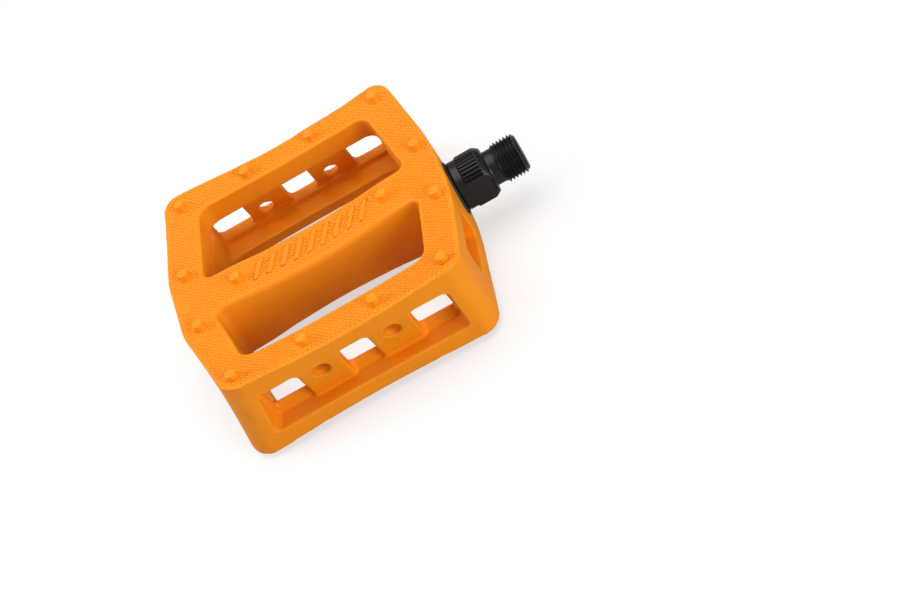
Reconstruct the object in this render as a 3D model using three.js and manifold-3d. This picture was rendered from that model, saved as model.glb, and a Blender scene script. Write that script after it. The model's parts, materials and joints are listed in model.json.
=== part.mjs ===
// Bicycle platform pedal with a moulded nylon body, unsealed ball bearings and a steel spindle.
// Millimetres, +Z up. X runs along the spindle, +X towards the crank. The origin is the centre of the
// spindle's threaded end face. Inside the root group, x = 0 is the middle of the moulded body.
// "Inner" parts lie at the crank end (+X), "outer" parts at the free end (-X).
// The near rail is the one at -Y; the far rail is the same, turned half a turn about the spindle.
import * as THREE from "three";
import { mergeVertices } from "three/addons/utils/BufferGeometryUtils.js";
import Module from "manifold-3d";

const wasm = await Module();
wasm.setup();

// ---- shared dimensions --------------------------------------------------------------------------
const SPINDLE_END_X = 74.7; // from the middle of the body to the threaded end face
const ROUND_SIDES = 32; // on every coaxial round
const CORNER_STEPS = 4; // segments in every rounded corner
const SIGNS = [-1, 1];

// Parts seated in the body, which sets the bores around them
const FIT = 0.05; // clearance around and behind a seated part
const INNER_CUP_R = 9.7;
const INNER_CUP_BACK_X = 37.2;
const OUTER_CUP_R = 9.2;
const OUTER_CUP_BACK_X = -32.4;
const CAP_R = 10.65;
const CAP_FIT = 0.1; // clearance around the end cap
const CAP_BACK_X = -48.2; // back of the end cap's flange

// ---- helpers ------------------------------------------------------------------------------------
// Welds a geometry into a solid, turning its faces outward if they point inward.
function solid(geometry) {
  geometry.deleteAttribute("normal");
  geometry.deleteAttribute("uv");
  const welded = mergeVertices(geometry, 1e-4);
  const { position } = welded.attributes;
  const triangles = new Uint32Array(welded.index.array);
  const corner = (i) => new THREE.Vector3().fromBufferAttribute(position, triangles[i]);
  let volume = 0;
  for (let i = 0; i < triangles.length; i += 3)
    volume += corner(i).dot(corner(i + 1).cross(corner(i + 2)));
  if (volume < 0)
    for (let i = 0; i < triangles.length; i += 3)
      [triangles[i + 1], triangles[i + 2]] = [triangles[i + 2], triangles[i + 1]];
  const vertProperties = new Float32Array(position.array);
  return new wasm.Manifold(new wasm.Mesh({ numProp: 3, vertProperties, triVerts: triangles }));
}

const join = (shapes) => shapes.reduce((a, b) => a.add(b));
const cut = (base, shapes) => shapes.reduce((a, b) => a.subtract(b), base);
const halfTurn = (shape) => shape.rotate([180, 0, 0]); // about the spindle

function toMesh(name, shape, material) {
  const { vertProperties, triVerts } = shape.getMesh();
  const geometry = new THREE.BufferGeometry();
  geometry.setAttribute("position", new THREE.BufferAttribute(new Float32Array(vertProperties), 3));
  geometry.setIndex(new THREE.BufferAttribute(new Uint32Array(triVerts), 1));
  geometry.computeVertexNormals();
  const mesh = new THREE.Mesh(geometry, material);
  mesh.name = name;
  return mesh;
}

// Outline with rounded corners. Every corner is [x, y, radius]; without a radius it stays sharp.
function rounded(corners) {
  const count = corners.length;
  return corners.flatMap(([x, y, radius], i) => {
    if (!radius) return [[x, y]];
    const corner = new THREE.Vector2(x, y);
    const towards = ([nextX, nextY]) => new THREE.Vector2(nextX - x, nextY - y).normalize();
    const back = towards(corners[(i + count - 1) % count]);
    const ahead = towards(corners[(i + 1) % count]);
    const halfAngle = Math.acos(THREE.MathUtils.clamp(back.dot(ahead), -1, 1)) / 2;
    const reach = radius / Math.tan(halfAngle); // from the corner to where the arc starts
    const bisector = back.clone().add(ahead).normalize();
    const centre = corner.clone().addScaledVector(bisector, radius / Math.sin(halfAngle));
    const start = corner.clone().addScaledVector(back, reach).sub(centre);
    const end = corner.clone().addScaledVector(ahead, reach).sub(centre);
    const turn = Math.atan2(start.cross(end), start.dot(end));
    const pivot = new THREE.Vector2();
    return Array.from({ length: CORNER_STEPS + 1 }, (_, k) =>
      start.clone().rotateAround(pivot, (turn * k) / CORNER_STEPS).add(centre).toArray(),
    );
  });
}

const AXIS_X = new THREE.Vector3(1, 0, 0);
const AXIS_Y = new THREE.Vector3(0, 1, 0);
const AXIS_Z = new THREE.Vector3(0, 0, 1);

// Prism whose outline lies in the (across, up) plane at start and is drawn out along a third axis.
function prism(outline, length, [across, up, along], start) {
  const shape = new THREE.Shape(outline.map(([x, y]) => new THREE.Vector2(x, y)));
  const geometry = new THREE.ExtrudeGeometry(shape, {
    depth: length,
    bevelEnabled: false,
    steps: 1,
  });
  const place = new THREE.Matrix4().makeBasis(across, up, along).setPosition(start);
  return solid(geometry.applyMatrix4(place));
}
// outline points are [x, y]
const alongZ = (outline, z0, z1) =>
  prism(outline, z1 - z0, [AXIS_X, AXIS_Y, AXIS_Z], new THREE.Vector3(0, 0, z0));
// outline points are [y, z]
const alongX = (outline, x0, x1) =>
  prism(outline, x1 - x0, [AXIS_Y, AXIS_Z, AXIS_X], new THREE.Vector3(x0, 0, 0));
// outline points are [x, z]; the prism runs from y0 down to y1 (y1 < y0)
const alongY = (outline, y0, y1) =>
  prism(outline, y0 - y1, [AXIS_X, AXIS_Z, AXIS_Y.clone().negate()], new THREE.Vector3(0, y0, 0));

const block = ([x0, x1], [y0, y1], [z0, z1]) =>
  alongZ([[x0, y0], [x1, y0], [x1, y1], [x0, y1]], z0, z1);

// Solid of revolution about the spindle axis; the profile is a closed list of [x, radius].
function turned(profile) {
  const points = [...profile, profile[0]].map(([x, radius]) => new THREE.Vector2(radius, x));
  return solid(new THREE.LatheGeometry(points, ROUND_SIDES).rotateZ(-Math.PI / 2));
}
// Coaxial disc, or a ring if it has a bore
const disc = (x0, x1, radius, bore = 0) =>
  turned([[x0, bore], [x0, radius], [x1, radius], [x1, bore]]);

// ---- materials ----------------------------------------------------------------------------------
const material = (color, roughness, metalness) =>
  new THREE.MeshStandardMaterial({ color, roughness, metalness });
const plastic = ({ color, roughness }) => material(color, roughness, 0);
const metal = ({ color, roughness, metalness = 1 }) => material(color, roughness, metalness);

const nylon = plastic({ color: 0xf08a2c, roughness: 0.6 });
const sealRubber = plastic({ color: 0x141414, roughness: 0.8 });
const capPlastic = plastic({ color: 0x1a1b1c, roughness: 0.5 });
const blackSteel = metal({ color: 0x17181a, roughness: 0.38, metalness: 0.8 });
const hardSteel = metal({ color: 0x9a9ca0, roughness: 0.3 });
const ballSteel = metal({ color: 0xc9ccd0, roughness: 0.12 });
const zincSteel = metal({ color: 0xa8aaab, roughness: 0.35 });

// ---- body blank ---------------------------------------------------------------------------------
// Cutters run out to these, clear of the body
const CLEAR_X = 60;
const CLEAR_Y = 70;
const CLEAR_Z = 20;

const HALF_LENGTH = 50.6; // along the spindle, at the flat middle of each end
const END_FLAT_Y = 14; // half width of that flat
const END_FLAT_FILLET = 3;
const CORNER_X = 44.3; // the slanted flank of each end runs from the flat to here ...
const CORNER_Y = 47; // ... and here
const CORNER_FILLET = 6.2;
const HALF_DEPTH_MID = 51.3; // across the spindle, at the middle of each rail
const HALF_DEPTH_END = 52.6; // and near the corners
const RAIL_BOW_X = 30; // the rail reaches its end depth here
const RAIL_STATIONS_X = [36, 24, 12, 0, -12, -24, -36];
const SLAB_SIZE = 116;
const SLAB_DIVISIONS = 12;

const FACE_Z0 = 11.06; // half height of the dished faces at the middle ...
const FACE_KX = 0.000719; // ... growing with x squared
const FACE_KY = 0.001111; // ... and with y squared
const BAR_DISH = 1.0; // the middle bar is dished this much deeper
const BAR_DISH_X = 30; // the extra dish fades out from x = 0 to here
const BAR_DISH_Y = 24; // and in y it ends here ...
const BAR_DISH_FADE_Y = 12; // ... fading over this width

function smooth(t) {
  const u = THREE.MathUtils.clamp(t, 0, 1);
  return u * u * (3 - 2 * u);
}

function faceZ(x, y) {
  const dish =
    smooth(1 - Math.abs(x) / BAR_DISH_X) * smooth((BAR_DISH_Y - Math.abs(y)) / BAR_DISH_FADE_Y);
  return FACE_Z0 + FACE_KX * x * x + FACE_KY * y * y - BAR_DISH * dish;
}

function makeBlank() {
  const flankSlope = (HALF_LENGTH - CORNER_X) / (CORNER_Y - END_FLAT_Y);
  const railEndX = HALF_LENGTH - flankSlope * (HALF_DEPTH_END - END_FLAT_Y);
  const bow = HALF_DEPTH_END - HALF_DEPTH_MID;
  const halfOutline = [
    [HALF_LENGTH, -END_FLAT_Y, END_FLAT_FILLET],
    [HALF_LENGTH, END_FLAT_Y, END_FLAT_FILLET],
    [railEndX, HALF_DEPTH_END, CORNER_FILLET],
    ...RAIL_STATIONS_X.map((x) => [x, HALF_DEPTH_MID + bow * Math.min(1, (x / RAIL_BOW_X) ** 2)]),
    [-railEndX, HALF_DEPTH_END, CORNER_FILLET],
  ];
  const outline = [...halfOutline, ...halfOutline.map(([x, y, radius]) => [-x, -y, radius])];
  const plan = alongZ(rounded(outline), -CLEAR_Z, CLEAR_Z);

  const slab = new THREE.BoxGeometry(SLAB_SIZE, SLAB_SIZE, 2, SLAB_DIVISIONS, SLAB_DIVISIONS, 1);
  const { position } = slab.attributes;
  for (let i = 0; i < position.count; i++)
    position.setZ(i, Math.sign(position.getZ(i)) * faceZ(position.getX(i), position.getY(i)));
  return plan.intersect(solid(slab));
}

// ---- windows and rail hollows -------------------------------------------------------------------
const BAR_HALF_WIDTH = 9.0;
const WINDOW_X_BAR = 38.25; // half length of a window beside the bar ...
const WINDOW_X_RAIL = 33.05; // ... and beside the rail
const WINDOW_FILLET_BAR = 3.2;
const WINDOW_FILLET_RAIL = 4.2;
const RAIL_INNER_WIDE = 38.8; // window edge of a rail's wide flange
const RAIL_INNER_NARROW = 41.2; // window edge of a rail's narrow flange

const HOLLOW_X = 34.0; // half length of the hollow in a rail
const HOLLOW_FILLET = 2.2;
const HOLLOW_BACK_Y = -36; // cutters of the near hollow end here, inside the window
const CEILING_Z = 7.7; // hollow of the near rail, upper side
const FLOOR_Z = -9.0; // and lower side, at the mouth
const FLOOR_RISE = 2.2; // which climbs this much towards the window
const RAMP_OUTER_Y = -50.3; // the climb starts here ...
const RAMP_OUTER_RISE = 0.35; // ... with this step
const RAMP_OVERLAP = 0.7; // into the material at each end of the hollow

const WEB_TOP_Y = -52.3; // outer face of the slanted web at the ceiling ...
const WEB_FOOT_Y = -45.3; // ... and at the floor
const WEB_THICK = 4.1; // measured across the rail
const WEB_X = [5.4, 20.4]; // each web spans this in x, on both sides of the middle
const WEB_HOLE_R = 3.05;
const WEB_HOLE_Z = 3.6;
const WEB_HOLE_SIDES = 20;

function windowOutline(railY) {
  const slope = (WINDOW_X_BAR - WINDOW_X_RAIL) / (RAIL_INNER_WIDE - BAR_HALF_WIDTH);
  const railX = WINDOW_X_BAR - slope * (railY - BAR_HALF_WIDTH);
  return rounded([
    [-WINDOW_X_BAR, -BAR_HALF_WIDTH, WINDOW_FILLET_BAR],
    [-railX, -railY, WINDOW_FILLET_RAIL],
    [railX, -railY, WINDOW_FILLET_RAIL],
    [WINDOW_X_BAR, -BAR_HALF_WIDTH, WINDOW_FILLET_BAR],
  ]);
}

const hollowOutline = (x0, x1) =>
  rounded([
    [x0, FLOOR_Z, HOLLOW_FILLET],
    [x1, FLOOR_Z, HOLLOW_FILLET],
    [x1, CEILING_Z, HOLLOW_FILLET],
    [x0, CEILING_Z, HOLLOW_FILLET],
  ]);

// Everything cut out of the near rail and its window
function nearSideCuts() {
  const windows = [
    alongZ(windowOutline(RAIL_INNER_WIDE), FLOOR_Z, CLEAR_Z),
    alongZ(windowOutline(RAIL_INNER_NARROW), -CLEAR_Z, FLOOR_Z + 0.01),
  ];

  // beside and between the webs the hollow goes right through
  const through = [
    [-HOLLOW_X, -WEB_X[1]],
    [-WEB_X[0], WEB_X[0]],
    [WEB_X[1], HOLLOW_X],
  ].map(([x0, x1]) => alongY(hollowOutline(x0, x1), HOLLOW_BACK_Y, -CLEAR_Y));

  const holeLength = CLEAR_Y + HOLLOW_BACK_Y;
  const holes = SIGNS.map((side) =>
    solid(
      new THREE.CylinderGeometry(WEB_HOLE_R, WEB_HOLE_R, holeLength, WEB_HOLE_SIDES).translate(
        (side * (WEB_X[0] + WEB_X[1])) / 2,
        (HOLLOW_BACK_Y - CLEAR_Y) / 2,
        WEB_HOLE_Z,
      ),
    ),
  );

  // slanted prisms on either side of the web, trimmed to the hollow
  const lean = (WEB_FOOT_Y - WEB_TOP_Y) / (CEILING_Z - FLOOR_Z); // y per mm of drop
  const webY = (z) => WEB_TOP_Y + lean * (CEILING_Z - z);
  const low = FLOOR_Z - 4;
  const high = CEILING_Z + 4;
  const outside = [[-CLEAR_Y, low], [webY(low), low], [webY(high), high], [-CLEAR_Y, high]];
  const inside = [
    [webY(high) + WEB_THICK, high],
    [webY(low) + WEB_THICK, low],
    [HOLLOW_BACK_Y, low],
    [HOLLOW_BACK_Y, high],
  ];
  const hollow = hollowOutline(-HOLLOW_X, HOLLOW_X);
  const slanted = [
    alongX(outside, -CLEAR_X, CLEAR_X).intersect(alongY(hollow, -40, -CLEAR_Y)),
    alongX(inside, -CLEAR_X, CLEAR_X).intersect(alongY(hollow, -30, -55)),
  ];
  return [...windows, ...through, ...holes, ...slanted];
}

// Wedge that makes the floor of the near hollow climb towards the window
function makeRamp() {
  const windowY = -RAIL_INNER_NARROW - 0.1;
  const halfLength = HOLLOW_X + RAMP_OVERLAP;
  const outline = [
    [RAMP_OUTER_Y, FLOOR_Z - 1],
    [windowY, FLOOR_Z - 1],
    [windowY, FLOOR_Z + FLOOR_RISE],
    [RAMP_OUTER_Y, FLOOR_Z + RAMP_OUTER_RISE],
  ];
  return alongX(outline, -halfLength, halfLength);
}

// ---- bearing housing and end pockets ------------------------------------------------------------
const HOUSING_BULGE = 10.5; // half width at mid height
const HOUSING_BULGE_Z = 4; // half height of the bulge's flat
const HOUSING_Z = 8.8; // half height
const HOUSING_X = 39.5; // half length

const POCKET_Y = [17.3, 37.6];
const POCKET_HALF_Z = 6.4;
const POCKET_DEPTH = 7.5;
const POCKET_FILLET = 2;
const POCKET_LEAN = 0.6; // the edge nearer the corner is this much shorter at the top

// Runs along the middle bar
function makeHousing() {
  const side = [
    [BAR_HALF_WIDTH, -HOUSING_Z],
    [HOUSING_BULGE, -HOUSING_BULGE_Z],
    [HOUSING_BULGE, HOUSING_BULGE_Z],
    [BAR_HALF_WIDTH, HOUSING_Z],
  ];
  return alongX([...side, ...side.map(([y, z]) => [-y, -z])], -HOUSING_X, HOUSING_X);
}

// One pocket in each of the four slanted flanks
function makeFlankPockets() {
  const run = new THREE.Vector2(CORNER_X - HALF_LENGTH, CORNER_Y - END_FLAT_Y).normalize();
  const [near, far] = POCKET_Y.map((y) => (y - END_FLAT_Y) / run.y); // distance along the flank
  const outline = rounded([
    [near, -POCKET_HALF_Z, POCKET_FILLET],
    [far, -POCKET_HALF_Z, POCKET_FILLET],
    [far - POCKET_LEAN, POCKET_HALF_Z, POCKET_FILLET],
    [near, POCKET_HALF_Z, POCKET_FILLET],
  ]);
  return SIGNS.flatMap((signX) =>
    SIGNS.map((signY) => {
      const along = new THREE.Vector3(signX * run.x, signY * run.y, 0);
      const outward = new THREE.Vector3(signX * run.y, -signY * run.x, 0);
      const start = new THREE.Vector3(signX * HALF_LENGTH, signY * END_FLAT_Y, 0);
      start.addScaledVector(outward, -POCKET_DEPTH);
      return prism(outline, POCKET_DEPTH + 6, [along, AXIS_Z, outward], start);
    }),
  );
}

// ---- grip pins and ribs -------------------------------------------------------------------------
// [x, y] in one quadrant, mirrored about both axes
const PINS = [
  [38.2, 45.6],
  [12.8, 45.7],
  [44.5, 13.5],
  [27.8, 0],
];
const PIN_R_TOP = 1.9;
const PIN_R_FOOT = 2.2;
const PIN_HEIGHT = 2.1;
const PIN_ROOT = 1; // depth sunk into the face
const PIN_SIDES = 14;

const RIB_COUNT = 9;
const RIB_PITCH = 5;
const RIB_HEIGHT = 0.7;
const RIB_THICK = 2; // in z, mostly sunk into the bar
const RIB_OUTLINE = [[-2.9, -4.2], [-0.9, -4.2], [2.9, 4.2], [0.9, 4.2]]; // [x, y] about its middle

function makePin(x, y) {
  const height = PIN_HEIGHT + PIN_ROOT;
  const pin = new THREE.CylinderGeometry(PIN_R_TOP, PIN_R_FOOT, height, PIN_SIDES);
  return solid(pin.rotateX(Math.PI / 2).translate(x, y, faceZ(x, y) + height / 2 - PIN_ROOT));
}

function makeRib(i) {
  const ribX = (i - (RIB_COUNT - 1) / 2) * RIB_PITCH;
  const top = faceZ(Math.abs(ribX) + 1, 0) + RIB_HEIGHT;
  return alongZ(RIB_OUTLINE.map(([x, y]) => [ribX + x, y]), top - RIB_THICK, top);
}

// All that stands on the upper face
function upperGrip() {
  const pins = PINS.flatMap(([x, y]) =>
    SIGNS.flatMap((signX) => (y ? SIGNS : [1]).map((signY) => makePin(signX * x, signY * y))),
  );
  return [...pins, ...Array.from({ length: RIB_COUNT }, (_, i) => makeRib(i))];
}

// ---- moulded body -------------------------------------------------------------------------------
const SHAFT_BORE_R = 6.7;

const makeBores = () => [
  disc(-CLEAR_X, CLEAR_X, SHAFT_BORE_R),
  disc(INNER_CUP_BACK_X - FIT, CLEAR_X, INNER_CUP_R + FIT),
  disc(-CLEAR_X, OUTER_CUP_BACK_X + FIT, OUTER_CUP_R + FIT),
  disc(-CLEAR_X, CAP_BACK_X + FIT, CAP_R + CAP_FIT),
];

function makeBody() {
  const nearCuts = nearSideCuts();
  const ramp = makeRamp();
  const grip = upperGrip();
  let body = cut(makeBlank(), [...nearCuts, ...nearCuts.map(halfTurn)]);
  body = join([body, ramp, halfTurn(ramp), makeHousing()]);
  body = cut(body, makeFlankPockets());
  body = body.add(join([...grip, ...grip.map(halfTurn)]));
  return cut(body, makeBores()); // last, so that nothing stands in them
}

// ---- spindle ------------------------------------------------------------------------------------
const THREAD_R = 7.144; // 9/16 inch
const THREAD_PITCH = 1.27; // 20 threads per inch
const THREAD_X = [65.8, 74.1];
const THREAD_DEPTH = 0.78;
const THREAD_SIDES = 20;
const THREAD_ROWS_PER_TURN = 8;
const THREAD_FADE = [0.8, 0.9]; // length over which each end of the thread runs out
const NECK_R = 6.1;
const SEAT_X = 62.4; // shoulder that seats on the crank
const BOSS_R = 8.65; // smooth ring between the seal and the flutes
const BOSS_X = [51.0, 53.9];
const FLUTED_R = 9.2;
const FLUTED_END_X = 60.2;
const FLUTES = 42;
const FLUTE_DEPTH = 0.6;
const WRENCH_FLATS = 15; // across the flats
const OUTER_END_R = 3.45;

// [x, radius], from the outer end to just inside the thread
const SHAFT_PROFILE = [
  [-46.4, 0],
  [-46.4, OUTER_END_R - 0.5],
  [-45.9, OUTER_END_R],
  [-34.6, OUTER_END_R],
  [-34.6, 4.6],
  [-20, 5.0],
  [36, 5.2],
  [42.1, 5.2],
  [44.5, 7.2],
  [50.4, 7.3],
  [BOSS_X[0], 7.6],
  [BOSS_X[0], BOSS_R],
  [BOSS_X[1], BOSS_R],
  [BOSS_X[1], 7.8],
  [60.6, 7.8],
  [60.6, 8.6],
  [SEAT_X, 7.7],
  [SEAT_X, NECK_R],
  [THREAD_X[0] + 0.2, NECK_R],
  [THREAD_X[0] + 0.2, 0],
];

// [x, radius] of the chamfered end beyond the thread
const TIP_PROFILE = [
  [THREAD_X[1] - 0.5, 0],
  [THREAD_X[1] - 0.5, 6.3],
  [THREAD_X[1], 6.3],
  [SPINDLE_END_X, 5.8],
  [SPINDLE_END_X, 0],
];

function makeFlutedCollar() {
  // [turn, radius] in one flute, the turn as a fraction of the flute's pitch
  const tooth = [
    [-0.26, FLUTED_R],
    [0.26, FLUTED_R],
    [0.42, FLUTED_R - FLUTE_DEPTH],
    [0.58, FLUTED_R - FLUTE_DEPTH],
  ];
  const outline = [];
  for (let i = 0; i < FLUTES; i++)
    for (const [turn, radius] of tooth) {
      const angle = ((i + turn) / FLUTES) * 2 * Math.PI;
      outline.push([radius * Math.cos(angle), radius * Math.sin(angle)]);
    }
  return alongX(outline, BOSS_X[1] - 0.1, FLUTED_END_X + 0.5);
}

// A cylinder whose skin follows a left-hand helical thread
function makeThread() {
  const length = THREAD_X[1] - THREAD_X[0];
  const rows = Math.round((length / THREAD_PITCH) * THREAD_ROWS_PER_TURN);
  const thread = new THREE.CylinderGeometry(1, 1, length, THREAD_SIDES, rows);
  thread.rotateZ(-Math.PI / 2);
  const { position } = thread.attributes;
  for (let i = 0; i < position.count; i++) {
    const x = position.getX(i) + length / 2;
    const y = position.getY(i);
    const z = position.getZ(i);
    position.setX(i, THREAD_X[0] + x);
    const unit = Math.hypot(y, z);
    if (unit < 0.5) continue; // centre of an end face
    const turns = x / THREAD_PITCH + Math.atan2(z, y) / (2 * Math.PI);
    const phase = turns - Math.floor(turns);
    const crest = THREE.MathUtils.clamp(1.15 - Math.abs(phase - 0.5) * 2.6, 0, 1);
    const fade = Math.min(1, x / THREAD_FADE[0], (length - x) / THREAD_FADE[1]);
    const radius = THREAD_R - THREAD_DEPTH + THREAD_DEPTH * crest * fade;
    position.setY(i, (y / unit) * radius);
    position.setZ(i, (z / unit) * radius);
  }
  return solid(thread);
}

function makeSpindle() {
  const flats = SIGNS.map((side) =>
    block([50.7, SEAT_X - 0.3], [(side * WRENCH_FLATS) / 2, side * 12], [-12, 12]),
  );
  const keyway = block([-47, -35.5], [-0.8, 0.8], [2.7, 5]);
  return cut(
    join([turned(SHAFT_PROFILE), makeFlutedCollar(), makeThread(), turned(TIP_PROFILE)]),
    [...flats, keyway],
  );
}

// ---- bearing rings and seal: profiles are [x, radius] -------------------------------------------
const makeInnerCup = () =>
  turned([
    [INNER_CUP_BACK_X, 6.3],
    [38.4, 6.3],
    [40.8, 8.7],
    [45.4, 8.7],
    [45.4, INNER_CUP_R],
    [INNER_CUP_BACK_X, INNER_CUP_R],
  ]);

const makeOuterCup = () =>
  turned([
    [-39, 8.3],
    [-39, OUTER_CUP_R],
    [OUTER_CUP_BACK_X, OUTER_CUP_R],
    [OUTER_CUP_BACK_X, 6.3],
    [-33.2, 6.3],
    [-35.2, 8.3],
  ]);

// Sits in the mouth of the inner cup's bore
const makeSeal = () =>
  turned([
    [45.7, 7.75],
    [45.7, INNER_CUP_R],
    [49.9, INNER_CUP_R],
    [50.3, 9.1],
    [50.3, 7.75],
    [49.2, 8.3],
    [46.6, 8.3],
  ]);

const makeCone = () =>
  turned([[-41.7, 3.5], [-41.7, 5.9], [-38.4, 5.9], [-35.2, 4.3], [-35.2, 3.5]]);

// ---- balls --------------------------------------------------------------------------------------
const BALL_R = 1.5875; // 1/8 inch across
const BALL_RINGS = [
  { label: "inner_ball", count: 13, x: 41.5, pitchR: 6.95 },
  { label: "outer_ball", count: 12, x: -35.9, pitchR: 6.55 },
];

function makeBallRing({ label, count, x, pitchR }) {
  const ring = new THREE.Group();
  const shape = solid(new THREE.IcosahedronGeometry(BALL_R, 1));
  for (let i = 0; i < count; i++) {
    const angle = (i / count) * 2 * Math.PI;
    const ball = toMesh(`${label}_${String(i + 1).padStart(2, "0")}`, shape, ballSteel);
    ball.position.set(x, pitchR * Math.cos(angle), pitchR * Math.sin(angle));
    ring.add(ball);
  }
  return ring;
}

// ---- washer and nut -----------------------------------------------------------------------------
const WASHER_X = [-42.8, -41.8];
const NUT_X = [-46.2, -42.9];
const NUT_CORNER_R = 6.93;
const NUT_BORE_R = 3.5;

// Its tab reaches into the spindle's keyway
const makeWasher = () =>
  disc(...WASHER_X, 6.3, 3.55).add(block(WASHER_X, [-0.65, 0.65], [2.9, 4.4]));

function makeNut() {
  const hexagon = Array.from({ length: 6 }, (_, i) => {
    const angle = (i * Math.PI) / 3;
    return [NUT_CORNER_R * Math.cos(angle), NUT_CORNER_R * Math.sin(angle)];
  });
  return alongX(hexagon, ...NUT_X).subtract(disc(-50, -40, NUT_BORE_R));
}

// ---- end cap: flanged plug with a raised rim and plain raised ribs on its face ------------------
const CAP_RAISED_X = [-50.9, -50.2];
const CAP_RIBS_Y = [-5, 0, 5];
const CAP_RIB_HALF_WIDTH = 0.9;
const CAP_RIB_REACH_R = 8.4; // rib corners lie on this circle
// [x, radius]
const CAP_PROFILE = [
  [-50.4, 0],
  [-50.4, 10.4],
  [-50.1, CAP_R],
  [CAP_BACK_X, CAP_R],
  [CAP_BACK_X, 9.15],
  [-46.9, 9.15],
  [-46.9, 7.9],
  [-48.0, 7.9],
  [-48.0, 0],
];

function makeCap() {
  const ribs = CAP_RIBS_Y.map((y) => {
    const halfLength = Math.sqrt(CAP_RIB_REACH_R ** 2 - (Math.abs(y) + CAP_RIB_HALF_WIDTH) ** 2);
    const width = [y - CAP_RIB_HALF_WIDTH, y + CAP_RIB_HALF_WIDTH];
    return block(CAP_RAISED_X, width, [-halfLength, halfLength]);
  });
  return join([turned(CAP_PROFILE), disc(...CAP_RAISED_X, 10.1, 9.2), ...ribs]);
}

// ---- assembly -----------------------------------------------------------------------------------
const root = new THREE.Group();
root.position.x = -SPINDLE_END_X;
const turning = new THREE.Group(); // everything that turns with the rider's foot
const fixed = new THREE.Group(); // everything screwed to the crank
root.add(turning, fixed);

turning.add(
  toMesh("pedal_body", makeBody(), nylon),
  toMesh("inner_bearing_cup", makeInnerCup(), hardSteel),
  toMesh("outer_bearing_cup", makeOuterCup(), hardSteel),
  toMesh("dust_seal", makeSeal(), sealRubber),
  toMesh("end_cap", makeCap(), capPlastic),
);
fixed.add(
  toMesh("spindle", makeSpindle(), blackSteel),
  toMesh("adjusting_cone", makeCone(), hardSteel),
  toMesh("lock_washer", makeWasher(), zincSteel),
  toMesh("lock_nut", makeNut(), zincSteel),
);
root.add(...BALL_RINGS.map(makeBallRing));

export default root;
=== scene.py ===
"""Looks of a platform pedal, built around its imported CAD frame.

Lengths are in millimetres from the middle of the moulded body, with +X towards the crank and +Z up;
meshes are written in metres. The spindle's axis is X, "near" is the -Y half, "far" the +Y half.
Profiles of turned pieces list (x, radius) points."""
import json
import math
from itertools import product

import bmesh
import bpy
import numpy as np
from mathutils import Matrix, Vector

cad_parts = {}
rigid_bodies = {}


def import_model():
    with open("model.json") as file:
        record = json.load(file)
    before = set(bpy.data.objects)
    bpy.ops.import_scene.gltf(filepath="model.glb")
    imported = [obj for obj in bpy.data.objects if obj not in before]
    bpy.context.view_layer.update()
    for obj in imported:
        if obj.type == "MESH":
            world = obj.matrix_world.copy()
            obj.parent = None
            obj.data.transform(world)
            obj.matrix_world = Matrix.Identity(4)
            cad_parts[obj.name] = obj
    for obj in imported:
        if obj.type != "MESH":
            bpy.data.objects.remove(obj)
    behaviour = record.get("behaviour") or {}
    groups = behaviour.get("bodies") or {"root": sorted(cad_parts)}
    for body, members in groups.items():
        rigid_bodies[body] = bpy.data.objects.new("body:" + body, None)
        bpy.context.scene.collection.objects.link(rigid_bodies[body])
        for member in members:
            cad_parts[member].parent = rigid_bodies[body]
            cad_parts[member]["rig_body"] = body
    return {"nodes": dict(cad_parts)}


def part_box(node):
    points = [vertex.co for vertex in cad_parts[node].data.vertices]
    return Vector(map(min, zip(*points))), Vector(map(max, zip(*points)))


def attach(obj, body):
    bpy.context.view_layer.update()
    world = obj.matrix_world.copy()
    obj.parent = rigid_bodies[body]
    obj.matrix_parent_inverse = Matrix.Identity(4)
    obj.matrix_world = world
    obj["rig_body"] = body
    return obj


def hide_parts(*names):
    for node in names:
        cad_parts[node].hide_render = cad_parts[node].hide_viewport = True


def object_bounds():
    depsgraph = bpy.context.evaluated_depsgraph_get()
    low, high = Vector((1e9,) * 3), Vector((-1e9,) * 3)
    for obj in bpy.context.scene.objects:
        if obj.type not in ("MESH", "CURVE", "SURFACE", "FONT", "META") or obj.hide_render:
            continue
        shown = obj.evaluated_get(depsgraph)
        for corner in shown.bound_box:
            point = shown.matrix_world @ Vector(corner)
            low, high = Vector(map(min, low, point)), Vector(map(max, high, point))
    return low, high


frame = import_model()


def plain(bounds):
    return [[float(c) for c in corner] for corner in bounds]


CAD_BOX = plain(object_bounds())
BODY_LO, BODY_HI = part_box("pedal_body")
BODY_X = 0.5 * (BODY_LO.x + BODY_HI.x) * 1000.0  # x of the body's middle in the frame, mm

# ---- sizes of the moulded body --------------------------------------------------------------------
HALF_LENGTH = 50.6
FLANK_Y = 14.0  # beyond this the ends slope back as flanks
FLANK_COS, FLANK_SIN = 0.98226, 0.18752  # the flank's outward direction
FACE_Z = 11.06  # height of the face at its middle, before the dip
RAIL_DROP = 1.22  # extra depth of the underside at the rails
# Openings, as distances out from the spindle and heights
WINDOW_Y, LOW_WINDOW_Y = 38.2, 41.2  # outer limit of a window: above the lip, and below it
FLOOR_Z, LIP_Z, CEILING_Z = -9.4, -5.1, 7.8
WEB_TOP_Y, WEB_FOOT_Y = 52.3, 45.5
WEB_X, WEB_HALF = 12.9, 7.5
HOLE_RADIUS = 3.0
# Slanted ribs across the middle of each face
RIB_PITCH, RIB_SLANT, RIB_COS = 5.0, 0.452, 0.911
RIB_HALF, RIB_REACH, RIB_HEIGHT = 0.911, 4.2, 0.85
# Bores: the through bore, then (radius, x where it starts) of the wider seats
BORE_RADIUS = 6.7
INNER_SEAT, OUTER_SEAT, CAP_SEAT = (9.75, 37.15), (9.25, -32.35), (10.75, -48.15)
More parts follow.
